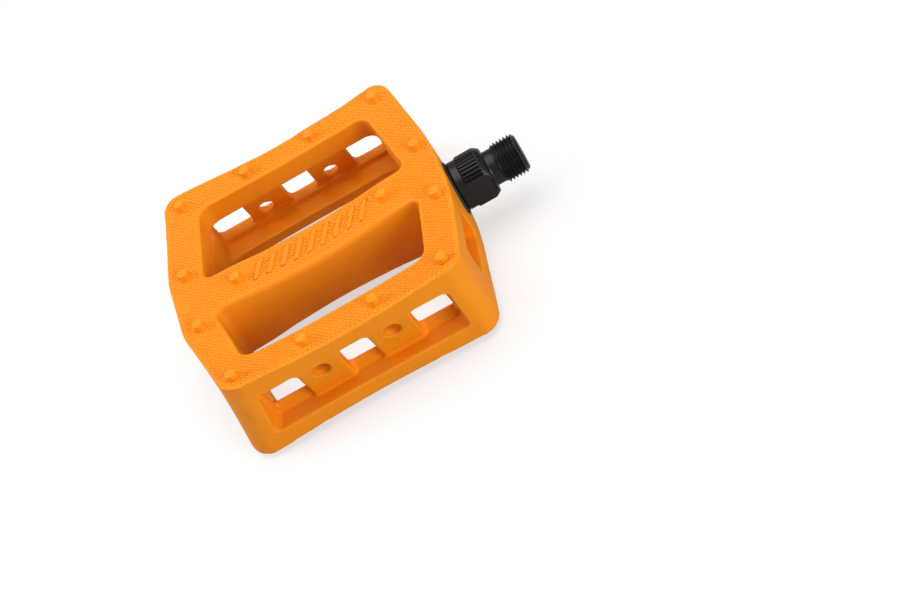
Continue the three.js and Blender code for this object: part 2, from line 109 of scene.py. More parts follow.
# Sampling grid of the body
GRID_LO, GRID_HI = (-52.63, -54.07, -19.61), (52.05, 54.09, 18.03)
GRID_STEP = 0.69
SETTLE_ROUNDS = 4
# Moulded pins: (x, y) in one quarter of a face, mirrored to the others
PINS = ((38.2, 45.6), (12.8, 45.7), (44.5, 13.5), (27.8, 0.0))
PIN_HEIGHT = 2.6
PIN_SIDES = 44
# (height above the face, radius), with a filleted foot and a softened rim
PIN_RINGS = (
    (-0.6, 2.5), (0.02, 2.42), (0.2, 2.28), (0.45, 2.21),
    (PIN_HEIGHT - 0.28, 1.98), (PIN_HEIGHT - 0.08, 1.9), (PIN_HEIGHT, 1.74),
)
# Grip points: grid pitch, half-diagonals at foot and top, depth sunk in, height
GRIP_PITCH = 1.725 / 2
GRIP_FOOT, GRIP_TOP, GRIP_SUNK, GRIP_TALL = 0.80, 0.48, 0.10, 0.32


# ---- field helpers --------------------------------------------------------------------------------
def ease(t):
    clamped = np.clip(t, 0.0, 1.0)
    return clamped * clamped * (3.0 - 2.0 * clamped)


def rise(value, start, length):
    """Eases from 0 at start to 1 a length later."""
    return ease((value - start) / length)


def fall(value, end, length):
    """Eases from 1, a length before end, to 0 at end."""
    return ease((end - value) / length)


def round_max(a, b, radius):
    """Intersection of two fields with a rounded edge."""
    outside = np.sqrt(np.maximum(a + radius, 0) ** 2 + np.maximum(b + radius, 0) ** 2)
    return np.minimum(np.maximum(a, b), -radius) + outside


def round_min(a, b, radius):
    """Union of two fields with a filleted joint."""
    return -round_max(-a, -b, radius)


# ---- fields of the moulded body: negative inside --------------------------------------------------
def face_height(x, y, below):
    """Height of the dished face, positive on both sides of the body."""
    ax, ay = np.abs(x), np.abs(y)
    dip = 1.1 * ease(1 - ax / 31.0) * fall(ay, 24.0, 12.0)
    dish = FACE_Z + 0.000719 * x * x + 0.001111 * y * y - dip
    rim = (1.3 * ease(ax / 40.0) - 0.6) * rise(ay, 43.0, 8.0)
    outboard = 1 + 0.15 * fall(x, -20, 12.0) - 0.6 * fall(x, -40.0, 7.0)
    return dish + np.where(below, RAIL_DROP * rise(ay, 20.0, 25.0) * outboard, rim)


def window_field(x, out, z, near):
    """The window between spindle bar and rail; it reaches further out below the lip."""
    half = 38.25 + np.where(x < 0, 0.4, -0.15) - 5.2 * (out - 9.0) / 29.8
    ends = (np.abs(x) - half) * 0.9856
    # the bar round the spindle is widest at mid height
    bar = 9.0 + 1.5 * (1.0 - np.minimum(np.abs(z) / 10.5, 1.0) ** 2)

    def window(outer):
        return round_max(round_max(out - outer, ends, 4.2), bar - out, 3.2)

    low = round_max(window(LOW_WINDOW_Y), z - LIP_Z - np.where(near, -1.0, 0.8), 0.3)
    return round_min(window(WINDOW_Y - 0.6 * fall(x, -15.0, 20.0)), low, 0.3)


def rail_field(x, out, z, near):
    """The hollow of the rail, less its slanted webs with round holes."""
    ax = np.abs(x)
    # the hollow narrows inwards: a low kerb stands at the back of its floor, and its ends lean in
    near_lip = (z - LIP_Z + 1.8 - 0.89 * (out - LOW_WINDOW_Y)) * 0.75
    lip = np.where(near, near_lip, z - LIP_Z)
    kerb = round_max(lip, (out - (44.7 - 0.33 * (z - FLOOR_Z))) * 0.95, 0.9)
    ceiling = z - CEILING_Z - 1.9 * fall(out, 46.6, 0.9)
    down = np.clip((CEILING_Z - z) / 16.7, 0.0, 1.0)
    outwards = np.clip((out - LOW_WINDOW_Y) / 10.6, 0.0, 1.1)
    reach = 33.4 + outwards * (0.9 + np.where(x < 0, 2.3, 0.5) * down)
    box = round_max(np.maximum(FLOOR_Z - z, ceiling), ax - reach, 2.3)
    box = round_max(box, -kerb, 0.8)

    # slanted webs, each with a round hole
    lean = (WEB_TOP_Y - WEB_FOOT_Y) / (CEILING_Z - FLOOR_Z)
    slope_length = math.hypot(1.0, lean)
    front = (out - WEB_FOOT_Y - lean * (z - FLOOR_Z)) / slope_length
    behind = (out - LOW_WINDOW_Y - lean * (z - FLOOR_Z)) / slope_length
    span = np.abs(ax - WEB_X) - WEB_HALF
    through = np.maximum(front, -behind)
    hole_x = np.where(near, ax - WEB_X, np.where(x < 0, ax - 14.0, ax - 11.9))
    near_rise = (z - 3.4 + 0.66 * (out - 50.6)) / 1.52
    far_rise = (z - 3.9) / 1.06
    hole = np.sqrt(hole_x ** 2 + np.where(near, near_rise ** 2, far_rise ** 2)) - HOLE_RADIUS
    web = round_max(round_max(through, span, 0.8), -hole, 0.5)
    rail = round_max(box, -web, 1.3 + 0.7 * fall(through, 0.6, 1.2))

    # the wall behind the webs, with rounded openings at the middle and either side of the webs
    tall = np.abs(z - np.where(near, 0.1, 1.35)) - np.where(near, 7.7, 6.45)
    middle_cut = round_max(ax - 5.4, tall, 2.0)
    side_cut = round_max(np.abs(ax - 26.9) - 6.5, tall, 2.0)
    cut = np.minimum(middle_cut, side_cut)
    wall = round_max(-np.minimum(cut, hole), np.abs(behind - 1.2) - 1.2, 0.3)
    rail = round_max(rail, -wall, 0.4)

    # inwards of the webs the hollow is flush with the back of the wall
    flush = round_max(round_max(behind, ceiling, 1.0), span + 0.1, 0.6)
    flush = round_max(flush, -kerb, 0.5)
    return round_max(round_min(rail, flush, 0.35), 36.0 - out, 0.4)


def hollows(x, out, z, near):
    """Everything opened out of one half of the body. out grows outwards from the spindle, and z is
    up on the near half and down on the far one."""
    return round_min(window_field(x, out, z, near), rail_field(x, out, z, near), 0.7)


def rib_distance(x, sided_y):
    """Distance from the nearest slanted rib's middle; sided_y is y, negated on the underside."""
    along = x - RIB_SLANT * sided_y
    offset = along - RIB_PITCH * np.clip(np.round(along / RIB_PITCH), -4, 4)
    return np.abs(offset) * RIB_COS


def bore_field(x, y, z):
    axis_distance = np.sqrt(y * y + z * z)
    bore = np.minimum(axis_distance - BORE_RADIUS,
                      np.maximum(axis_distance - INNER_SEAT[0], INNER_SEAT[1] - x))
    for radius, start in (OUTER_SEAT, CAP_SEAT):
        bore = np.minimum(bore, np.maximum(axis_distance - radius, x - start))
    return bore


def body_field(x, y, z, ribs=True):
    """Signed distance, near enough, to the skin of the moulded body."""
    ax, ay, az = np.abs(x), np.abs(y), np.abs(z)
    # the crank end is a little shorter
    shorter = np.where(x > 0, 0.9 - 0.6 * rise(ay, 14.0, 33.0), -0.45)
    end = ax + shorter - HALF_LENGTH
    beyond = ay - FLANK_Y
    # the near outboard corner leans out towards the underside
    turned = np.clip((-y - 12.0) / 35.0, 0.0, 1.1) * (x < 0)
    spread = 3.7 * turned ** 1.25 * np.clip((13.5 - z) / 27.0, 0.0, 1.0) - 1.5 * turned
    leaning = (ax + shorter - spread - HALF_LENGTH) * FLANK_COS + beyond * FLANK_SIN
    # the far rail is drawn in a little towards the crank
    drawn_in = 0.9 * np.exp(-(((x - 28.0) / 10.0) ** 2)) * (y > 0)
    rail = ay - (51.75 + 0.4 * ease(ax / 38.0) - drawn_in)
    plan = round_max(round_max(end, leaning, np.where(x > 0, 1.6, 0.8)), rail, 6.0)
    top = face_height(x, y, z < 0)
    skin = round_max(plan, (az - top) * 0.995, 0.6)

    near = y < 0
    edge = 0.7 + (0.8 + 0.6 * fall(ax, 30.0, 12.0)) * fall(ay, 15.0, 4.0)
    skin = round_max(skin, -hollows(x, ay, np.where(near, z, -z), near), edge)

    # pocket in each flank
    along = end * -FLANK_SIN + beyond * FLANK_COS
    flank = end * FLANK_COS + beyond * FLANK_SIN
    pocket = round_max(np.abs(along - 13.69) - 10.33, az - 6.4, 2.0)
    pocket = round_max(pocket, -(flank + 7.5), 1.0)
    skin = round_max(skin, -pocket, 0.6)
    if ribs:
        rib = rib_distance(x, np.where(z > 0, y, -y)) - RIB_HALF
        rib = round_max(rib, ay - RIB_REACH, 0.4)
        rib = round_max(rib, az - (top + RIB_HEIGHT), 0.2)
        rib = np.maximum(rib, (top - 1.0) - az)
        skin = round_min(skin, rib, 0.2)
    return round_max(skin, -bore_field(x, y, z), 0.45)


# ---- meshing of a field ---------------------------------------------------------------------------
def surface_nets(field, lo, hi, step):
    """One corner per grid cell that the skin crosses, and a quad round each crossed grid edge."""
    size = [int(math.ceil((h - l) / step)) + 1 for l, h in zip(lo, hi)]
    axes = [np.float32(l) + np.float32(step) * np.arange(k, dtype=np.float32)
            for l, k in zip(lo, size)]
    grid = np.empty(size, np.float32)
    for i in range(0, size[0], 16):  # in slabs, to save memory
        x, y, z = np.meshgrid(axes[0][i:i + 16], axes[1], axes[2], indexing="ij")
        grid[i:i + 16] = field(x, y, z)
    inside = grid < 0
    cell_size = [k - 1 for k in size]
    count = sum(
        inside[tuple(slice(o, o + k) for o, k in zip(corner, cell_size))].astype(np.int8)
        for corner in product((0, 1), repeat=3)
    )
    cells = np.argwhere((count > 0) & (count < 8))
    index = np.full(cell_size, -1, np.int64)
    index[tuple(cells.T)] = np.arange(len(cells))

    # each corner is the mean of the crossings on its cell's twelve edges
    total = np.zeros((len(cells), 3))
    hits = np.zeros(len(cells))
    for axis, a, b in product(range(3), (0, 1), (0, 1)):
        offset = [a, b]
        offset.insert(axis, 0)
        start = cells + np.array(offset)
        stop = start.copy()
        stop[:, axis] += 1
        at_start, at_stop = grid[tuple(start.T)], grid[tuple(stop.T)]
        cross = (at_start < 0) != (at_stop < 0)
        t = np.where(cross, at_start / np.where(cross, at_start - at_stop, 1), 0)
        point = start.astype(float)
        point[:, axis] += t
        total[cross] += point[cross]
        hits[cross] += 1
    verts = total / hits[:, None] * step + np.array(lo)

    quads = []
    for axis in range(3):
        first, second = [slice(None)] * 3, [slice(None)] * 3
        first[axis], second[axis] = slice(0, -1), slice(1, None)
        starts_inside = inside[tuple(first)]
        edges = np.argwhere(starts_inside != inside[tuple(second)])
        u, v = (axis + 1) % 3, (axis + 2) % 3
        for side in (u, v):
            edges = edges[(edges[:, side] > 0) & (edges[:, side] < size[side] - 1)]
        ring = []
        for du, dv in ((-1, -1), (0, -1), (0, 0), (-1, 0)):
            cell = edges.copy()
            cell[:, u] += du
            cell[:, v] += dv
            ring.append(index[tuple(cell.T)])
        ring = np.stack(ring, 1)
        inward = ~starts_inside[tuple(edges.T)]
        ring[inward] = ring[inward][:, ::-1]
        quads.append(ring)
    return verts, np.concatenate(quads)


def gradient(field, points, delta=0.02):
    slope = np.empty_like(points)
    for k in range(3):
        ahead, back = points.copy(), points.copy()
        ahead[:, k] += delta
        back[:, k] -= delta
        slope[:, k] = field(*ahead.T) - field(*back.T)
    return slope / (2 * delta)


def settle(field, points, quads, rounds):
    """Evens the corners out along the skin, and puts them back on it."""
    edges = np.concatenate([quads[:, [k, (k + 1) % 4]] for k in range(4)])
    start, stop = edges.T
    valence = np.bincount(edges.ravel(), minlength=len(points)).astype(float)
    for k in range(rounds + 1):
        if k:
            sums = [np.bincount(start, points[stop, c], len(points))
                    + np.bincount(stop, points[start, c], len(points)) for c in range(3)]
            mean = np.stack(sums, 1) / valence[:, None]
            points = points + 0.5 * (mean - points)
        for _ in range(3 if k == rounds else 1):
            distance = field(*points.T)
            slope = gradient(field, points)
            steepness = np.maximum((slope * slope).sum(1), 0.3)
            move = np.clip(-distance / steepness, -0.35, 0.35)
            points = points + move[:, None] * slope
    return points


# ---- mesh objects ---------------------------------------------------------------------------------
def link_mesh(name, mesh):
    ob = bpy.data.objects.new(name, mesh)
    bpy.context.scene.collection.objects.link(ob)
    return ob


def shade(mesh, smooth):
    mesh.polygons.foreach_set("use_smooth", np.full(len(mesh.polygons), smooth, bool))


def make_object(name, verts, faces, smooth=True):
    """A mesh object from body-centred millimetres; faces are an array of quads or a mixed list."""
    verts = np.asarray(verts, float).copy()
    verts[:, 0] += BODY_X
    mesh = bpy.data.meshes.new(name)
    if isinstance(faces, np.ndarray):
        corners = faces.shape[1]
        mesh.vertices.add(len(verts))
        mesh.vertices.foreach_set("co", (verts / 1000.0).astype(np.float32).ravel())
        mesh.loops.add(faces.size)
        mesh.loops.foreach_set("vertex_index", faces.astype(np.int32).ravel())
        mesh.polygons.add(len(faces))
        starts = np.arange(0, faces.size, corners, dtype=np.int32)
        mesh.polygons.foreach_set("loop_start", starts)
        mesh.polygons.foreach_set("loop_total", np.full(len(faces), corners, np.int32))
        mesh.update(calc_edges=True)
        mesh.validate(clean_customdata=False)
    else:
        mesh.from_pydata([tuple(c) for c in verts / 1000.0], [], faces)
        mesh.update()
    shade(mesh, smooth)
    return link_mesh(name, mesh)


def make_sharpened(name, verts, faces):
    """Merges the corners that fall together on the axis, and sharpens the real edges."""
    ob = make_object(name, verts, faces)
    bm = bmesh.new()
    bm.from_mesh(ob.data)
    bmesh.ops.remove_doubles(bm, verts=bm.verts, dist=2e-6)
    bmesh.ops.dissolve_degenerate(bm, edges=bm.edges, dist=1e-7)
    bmesh.ops.recalc_face_normals(bm, faces=bm.faces)
    for edge in bm.edges:
        if len(edge.link_faces) == 2:
            edge.smooth = edge.calc_face_angle(0.0) < math.radians(38)
    bm.to_mesh(ob.data)
    bm.free()
    shade(ob.data, True)
    ob.data.update()
    return ob


# ---- materials ------------------------------------------------------------------------------------
class Nodes:
    """A material with a Principled surface, and short ways to add nodes to it."""

    def __init__(self, name):
        self.mat = bpy.data.materials.new(name)
        self.mat.use_nodes = True
        self.tree = self.mat.node_tree
        self.tree.nodes.clear()
        output = self.add("ShaderNodeOutputMaterial")
        self.bsdf = self.add("ShaderNodeBsdfPrincipled")
        self.tree.links.new(self.bsdf.outputs[0], output.inputs["Surface"])
        self.coord = self.add("ShaderNodeTexCoord").outputs["Object"]

    def add(self, kind, inputs=None, **settings):
        """A node; inputs maps sockets to values or to the sockets that feed them."""
        node = self.tree.nodes.new(kind)
        for key, value in settings.items():
            setattr(node, key, value)
        self.feed(node, inputs or {})
        return node

    def feed(self, node, inputs):
        for key, value in inputs.items():
            if isinstance(value, bpy.types.NodeSocket):
                self.tree.links.new(value, node.inputs[key])
            else:
                node.inputs[key].default_value = value

    def surface(self, inputs):
        self.feed(self.bsdf, inputs)

    def noise(self, scale, detail, rough, vector=None):
        return self.add("ShaderNodeTexNoise", {
            "Scale": scale, "Detail": detail, "Roughness": rough, "Vector": vector or self.coord,
        }).outputs["Fac"]

    def stretch(self, scale):
        inputs = {"Scale": scale, "Vector": self.coord}
        return self.add("ShaderNodeMapping", inputs).outputs["Vector"]

    def blotch(self, fac, dark, light):
        """Colour from dark to light over the middle of a noise."""
        ramp = self.add("ShaderNodeValToRGB", {"Fac": fac})
        for stop, place, colour in zip(ramp.color_ramp.elements, (0.3, 0.7), (dark, light)):
            stop.position, stop.color = place, (*colour, 1)
        return ramp.outputs["Color"]

    def remap(self, value, to, source=(0.3, 0.7), kind="LINEAR"):
        return self.add("ShaderNodeMapRange", {
            "From Min": source[0], "From Max": source[1], "To Min": to[0], "To Max": to[1],
            "Value": value,
        }, interpolation_type=kind).outputs["Result"]

    def math(self, operation, *values):
        return self.add("ShaderNodeMath", dict(enumerate(values)), operation=operation).outputs[0]

    def mix(self, fac, a, b, kind="MIX"):
        # sockets 0, 6 and 7 are the factor and the two colours
        return self.add("ShaderNodeMix", {0: fac, 6: a, 7: b},
                        data_type="RGBA", blend_type=kind).outputs[2]

    def bump(self, height, strength, distance, normal=None):
        inputs = {"Strength": strength, "Distance": distance, "Height": height}
        if normal is not None:
            inputs["Normal"] = normal
        return self.add("ShaderNodeBump", inputs).outputs["Normal"]


def nylon(name):
    m = Nodes(name)
    cloud = m.noise(scale=55.0, detail=3.0, rough=0.5)
    tint = m.blotch(cloud, dark=(0.865, 0.258, 0.0016), light=(0.915, 0.284, 0.0024))
    speck = m.remap(m.noise(scale=1500.0, detail=2.0, rough=0.6), to=(0.95, 1.03))
    colour = m.mix(1.0, tint, speck, "MULTIPLY")
    # convex edges are paler: a painted highlight along them
    point = m.add("ShaderNodeNewGeometry").outputs["Pointiness"]
    edge_highlight = m.remap(point, source=(0.52, 0.60), to=(0.0, 0.5), kind="SMOOTHSTEP")
    m.surface({
        "Base Color": m.mix(edge_highlight, colour, (0.97, 0.37, 0.02, 1)),
        "Roughness": m.remap(m.noise(scale=420.0, detail=4.0, rough=0.6), to=(0.50, 0.64)),
        "IOR": 1.5,
        "Specular IOR Level": 0.28,
        "Subsurface Weight": 0.05,
        "Subsurface Radius": (1.0, 0.35, 0.05),
        "Subsurface Scale": 0.0010,
    })
    # moulding texture, and the thin line where the two halves of the mould met
    fine = m.noise(scale=2300.0, detail=2.0, rough=0.6)
    grain = m.bump(fine, strength=0.22, distance=0.00012)
    place = m.add("ShaderNodeSeparateXYZ", {0: m.coord})
    height = m.math("ABSOLUTE", place.outputs["Z"])
    line = m.remap(height, source=(0.00005, 0.00022), to=(1.0, 0.0), kind="SMOOTHSTEP")
    m.surface({"Normal": m.bump(line, strength=0.35, distance=0.00008, normal=grain)})
    return m.mat


def metal(name, dark, light, rough, scale, grain, metallic=1.0):
    m = Nodes(name)
    fine = m.noise(scale=1.0, detail=4.0, rough=0.6, vector=m.stretch(scale))
    m.surface({
        "Base Color": m.blotch(fine, dark, light),
        "Metallic": metallic,
        "Roughness": m.remap(m.noise(scale=160.0, detail=5.0, rough=0.65), to=rough),
        "Normal": m.bump(fine, strength=grain, distance=0.00005),
    })
    return m.mat


def plastic(name, dark, light, rough):
    m = Nodes(name)
    bumps = {"strength": 0.25, "distance": 0.00008}
    m.surface({
        "Base Color": m.blotch(m.noise(scale=240.0, detail=4.0, rough=0.6), dark, light),
        "Roughness": m.remap(m.noise(scale=700.0, detail=3.0, rough=0.6), to=rough),
        "Normal": m.bump(m.noise(scale=1800.0, detail=2.0, rough=0.6), **bumps),
    })
    return m.mat


def floor_paper(name):
    m = Nodes(name)
    paper = m.blotch(m.noise(scale=3.0, detail=2.0, rough=0.5), dark=(0.50,) * 3, light=(0.53,) * 3)
    # the camera sees a brighter, even floor
    seen = m.add("ShaderNodeLightPath").outputs["Is Camera Ray"]
    m.surface({
        "Base Color": m.mix(seen, paper, (0.40, 0.40, 0.40, 1)),
        "Emission Color": (1, 1, 1, 1),
        "Emission Strength": m.math("MULTIPLY", seen, 0.60),
        "Roughness": 0.8,
        "Specular IOR Level": 0.1,
    })
    return m.mat


LOOKS = {"orange_nylon": nylon("orange_nylon")}
for kind, name, values in (
    (metal, "black_steel", dict(
        dark=(0.007, 0.007, 0.0075), light=(0.014, 0.014, 0.015), rough=(0.26, 0.40),
        metallic=0.35, scale=(700.0, 160.0, 160.0), grain=0.2)),
    (metal, "bearing_steel", dict(
        dark=(0.42, 0.43, 0.45), light=(0.58, 0.59, 0.61), rough=(0.18, 0.34),
        scale=(60.0, 900.0, 900.0), grain=0.2)),
    (metal, "ball_steel", dict(
        dark=(0.66, 0.67, 0.69), light=(0.78, 0.79, 0.81), rough=(0.06, 0.14),
        scale=(500.0,) * 3, grain=0.04)),
    (metal, "zinc_steel", dict(
        dark=(0.50, 0.51, 0.52), light=(0.64, 0.65, 0.67), rough=(0.24, 0.42),
        scale=(260.0,) * 3, grain=0.2)),
    (plastic, "seal_rubber", dict(
        dark=(0.009, 0.009, 0.010), light=(0.016, 0.016, 0.017), rough=(0.55, 0.75))),
    (plastic, "black_plastic", dict(
        dark=(0.008, 0.008, 0.009), light=(0.014, 0.014, 0.015), rough=(0.38, 0.52))),
    (plastic, "grey_relief", dict(dark=(0.12,) * 3, light=(0.17,) * 3, rough=(0.40, 0.55))),
):
    LOOKS[name] = kind(name, **values)


def dress(ob, look):
    ob.data.materials.clear()
    ob.data.materials.append(LOOKS[look])


def fit(ob, look, rides, replaces=None):
    """Dresses a piece, hides the part it stands for and ties it to what it moves with."""
    dress(ob, look)
    if replaces:
        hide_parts(replaces)
    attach(ob, rides)


# ---- moulded body and its treads ------------------------------------------------------------------
def build_body():
    verts, quads = surface_nets(body_field, GRID_LO, GRID_HI, GRID_STEP)
    verts = settle(body_field, verts, quads, SETTLE_ROUNDS)
    normals = gradient(body_field, verts, 0.03)
    normals /= np.maximum(np.linalg.norm(normals, axis=1), 1e-9)[:, None]
    ob = make_object("moulded_body", verts, quads)
    ob.data.normals_split_custom_set_from_vertices([tuple(n) for n in normals])
    return ob


def build_grip(name, side):
    """The fine texture of one tread: small flat-topped points on a diagonal grid, in rows at 45
    degrees. side is 1 above and -1 below."""
    count = int(54 / GRIP_PITCH) + 1
    i, j = np.meshgrid(np.arange(-count, count + 1), np.arange(-count, count + 1), indexing="ij")
    keep = (i + j) % 2 == 0
    x, y = i[keep] * GRIP_PITCH, j[keep] * GRIP_PITCH
    keep = (np.abs(x) < 53) & (np.abs(y) < 54)
    x, y = x[keep], y[keep]
    z = face_height(x, y, side < 0)
    # leave out what is off the solid face, near a pin or near a rib
    deep = 1.15
    keep = body_field(x, y, side * (z - deep), ribs=False) < -deep * 0.97
    for px, py in PINS:
        keep &= np.hypot(np.abs(x) - px, np.abs(y) - py) > 3.0
    keep &= (rib_distance(x, side * y) > 1.45) | (np.abs(y) > 4.9)
    x, y, z = x[keep], y[keep], z[keep]
    below = side < 0
    slope_x = (face_height(x + 0.1, y, below) - face_height(x - 0.1, y, below)) / 0.2
    slope_y = (face_height(x, y + 0.1, below) - face_height(x, y - 0.1, below)) / 0.2
    corners = []
    for radius, height in ((GRIP_FOOT, -GRIP_SUNK), (GRIP_TOP, GRIP_TALL)):
        for cx, cy in ((1, 0), (0, 1), (-1, 0), (0, -1)):
            dx, dy = radius * cx, radius * cy
            corner_z = side * (z + slope_x * dx + slope_y * dy + height)
            corners.append(np.stack([x + dx, y + dy, corner_z], 1))
    verts = np.stack(corners, 1).reshape(-1, 3)
    base = np.arange(len(x))[:, None] * 8
    faces = [[4, 5, 6, 7], [3, 2, 1, 0]]
    faces += [[a, (a + 1) % 4, (a + 1) % 4 + 4, a + 4] for a in range(4)]
    faces = np.array(faces)
    if below:
        faces = faces[:, ::-1]
    quads = (base[:, None, :] + faces[None]).reshape(-1, 4)
    return make_object(name, verts, quads, smooth=False)


def build_pins(name, side):
    """The moulded pins of one tread."""
    verts, faces = [], []
    places = {(sx * px, sy * py) for px, py in PINS for sx in (-1, 1) for sy in (-1, 1)}
    for px, py in sorted(places):
        foot = float(face_height(np.array(px), np.array(py), side < 0))
        base = len(verts)
        for height, radius in PIN_RINGS:
            for k in range(PIN_SIDES):
                t = 2 * math.pi * k / PIN_SIDES
                verts.append((px + radius * math.cos(t), py + radius * math.sin(t),
                              side * (foot + height)))
        for i in range(len(PIN_RINGS) - 1):
            low = base + i * PIN_SIDES
            high = low + PIN_SIDES
            for k in range(PIN_SIDES):
                j = (k + 1) % PIN_SIDES
                faces.append((low + k, low + j, high + j, high + k))
        faces.append(tuple(range(high, high + PIN_SIDES)))
        faces.append(tuple(base + k for k in reversed(range(PIN_SIDES))))
    return make_sharpened(name, verts, faces)


fit(build_body(), "orange_nylon", "pedal", replaces="pedal_body")
for build, prefix in ((build_grip, "grip_texture_"), (build_pins, "grip_pins_")):
    for place, side in (("above", 1), ("below", -1)):
        fit(build(prefix + place, side), "orange_nylon", "pedal")


# ---- turned pieces --------------------------------------------------------------------------------
def round_profile(points):
    """Rounds the corners of a closed profile: each point is (x, r) or (x, r, fillet)."""
    rounded = []
    count = len(points)
    for i, point in enumerate(points):
        here = np.array(point[:2], float)
        fillet = point[2] if len(point) > 2 else 0
        if not fillet:
            rounded.append(tuple(here))
            continue
        before = np.array(points[(i - 1) % count][:2], float) - here
        after = np.array(points[(i + 1) % count][:2], float) - here
        room = 0.48 * np.linalg.norm(before), 0.48 * np.linalg.norm(after)
        before, after = before / np.linalg.norm(before), after / np.linalg.norm(after)
        half = math.acos(max(-1, min(1, float(before @ after)))) / 2
        if half > math.radians(88):  # nearly straight
            rounded.append(tuple(here))
            continue
        reach = min(fillet / math.tan(half), *room)
        radius = reach * math.tan(half)
        middle = before + after
        centre = here + middle / np.linalg.norm(middle) * (radius / math.sin(half))
        start, end = here + before * reach - centre, here + after * reach - centre
        turn = math.atan2(start[0] * end[1] - start[1] * end[0], float(start @ end))
        for k in range(5):
            cos, sin = math.cos(turn * k / 4), math.sin(turn * k / 4)
            rounded.append((centre[0] + start[0] * cos - start[1] * sin,
                            centre[1] + start[0] * sin + start[1] * cos))
    return rounded


def lathe(name, profile, sides, reshape=None):
    """Solid of revolution about the spindle's axis; reshape(x, r, angle) gives new radii."""
    points = np.array(round_profile(profile), float)
    count = len(points)
    x, r = (np.repeat(column, sides).reshape(count, sides) for column in points.T)
    angle = np.tile(2 * np.pi * np.arange(sides) / sides, (count, 1))
    if reshape:
        r = reshape(x, r, angle)
    verts = np.stack([x, r * np.cos(angle), r * np.sin(angle)], 2).reshape(-1, 3)
    following = np.roll(points, -1, axis=0)
    area = np.sum(points[:, 0] * following[:, 1] - following[:, 0] * points[:, 1])
    faces = []
    for i in range(count):
        j = (i + 1) % count
        for k in range(sides):
            l = (k + 1) % sides
            quad = [i * sides + k, j * sides + k, j * sides + l, i * sides + l]
            faces.append(quad if area > 0 else quad[::-1])
    return make_sharpened(name, verts, faces)


# Spindle: boss, fluted collar with wrench flats, seat, threaded end
FLUTES = 42
FLUTE_DEPTH = 0.62
BOSS_RADIUS, COLLAR_RADIUS = 8.66, 9.2
FLAT_HALF = 7.5
THREAD_RADIUS, THREAD_DEPTH, THREAD_PITCH = 7.144, 0.84, 1.27
THREAD_START = 65.8
SPINDLE_SHAFT = [
    (-46.4, 0.0), (-46.4, 2.95), (-45.9, 3.45), (-34.7, 3.45), (-34.6, 3.55), (-34.6, 4.6),
    (-20, 5.0), (20, 5.15), (36, 5.2), (42.1, 5.2), (42.6, 5.35), (43.4, 6.0), (44.1, 6.8),
    (44.6, 7.2), (50.3, 7.3), (50.35, 7.3), (50.6, 8.2), (50.72, 8.52), (50.95, 8.66),
]
COLLAR_ENTRY_X = (53.5, 53.6, 53.72, 53.85, 54.0, 54.2, 54.5)
SPINDLE_SEAT = [
    (60.1, 9.2), (60.3, 9.16), (60.6, 9.02), (60.9, 8.86), (61.3, 8.62), (61.8, 8.32),
    (62.2, 8.02), (62.36, 7.86), (62.4, 7.72), (62.4, 6.75), (62.44, 6.45), (62.56, 6.24),
    (62.8, 6.12), (63.2, 6.1), (65.3, 6.1), (65.6, 6.12), (65.8, 6.2),
]
SPINDLE_TIP = [
    (74.1, 6.36), (74.3, 6.2), (74.66, 5.86), (74.7, 5.78), (74.7, 4.2), (74.62, 4.0), (74.62, 0.0),
]


def spindle_radius(x, r, angle):
    turns = angle / (2 * np.pi)
    # flutes: rounded grooves that run out towards the crank
    groove = ease(1.0 - np.abs((turns * FLUTES) % 1.0 - 0.5) / 0.36)
    fluted = (x > 53.55) & (x < 61.2)
    r = np.where(fluted, r - groove * (FLUTE_DEPTH * fall(x, 60.9, 0.9)), r)
    entry = (x > 53.45) & (x < 54.25)
    r = np.where(entry, np.minimum(r, 8.68 + (COLLAR_RADIUS - 8.68) * rise(x, 53.5, 0.5)), r)
    # wrench flats
    flat = FLAT_HALF / np.maximum(np.abs(np.cos(angle)), 1e-6)
    r = np.where((x > 50.9) & (x < 62.1), np.minimum(r, flat), r)
    # thread: left-hand helix, a 60 degree form with narrow crests
    threaded = (x >= 65.9) & (x <= 74.08)
    turn = (x - THREAD_START) / THREAD_PITCH + turns
    turn = turn - np.floor(turn)
    crest = np.clip(1.12 - np.abs(turn - 0.5) * 2.5, 0.0, 1.0)
    lead = np.clip((x - THREAD_START) / 0.7, 0, 1) * np.clip((74.2 - x) / 0.55, 0.25, 1)
    thread = THREAD_RADIUS - THREAD_DEPTH + THREAD_DEPTH * crest * lead
    return np.where(threaded, thread, r)


def build_spindle():
    rows = SPINDLE_SHAFT + [(x, BOSS_RADIUS) for x in np.arange(51.2, 53.4, 0.3)]
    rows += [(x, COLLAR_RADIUS) for x in (*COLLAR_ENTRY_X, *np.arange(54.9, 60.0, 0.5))]
    rows += SPINDLE_SEAT
    rows += [(x, THREAD_RADIUS) for x in np.arange(65.95, 74.06, THREAD_PITCH / 16)]
    return lathe("spindle_forging", rows + SPINDLE_TIP, FLUTES * 6, spindle_radius)


fit(build_spindle(), "black_steel", "spindle_assembly", replaces="spindle")

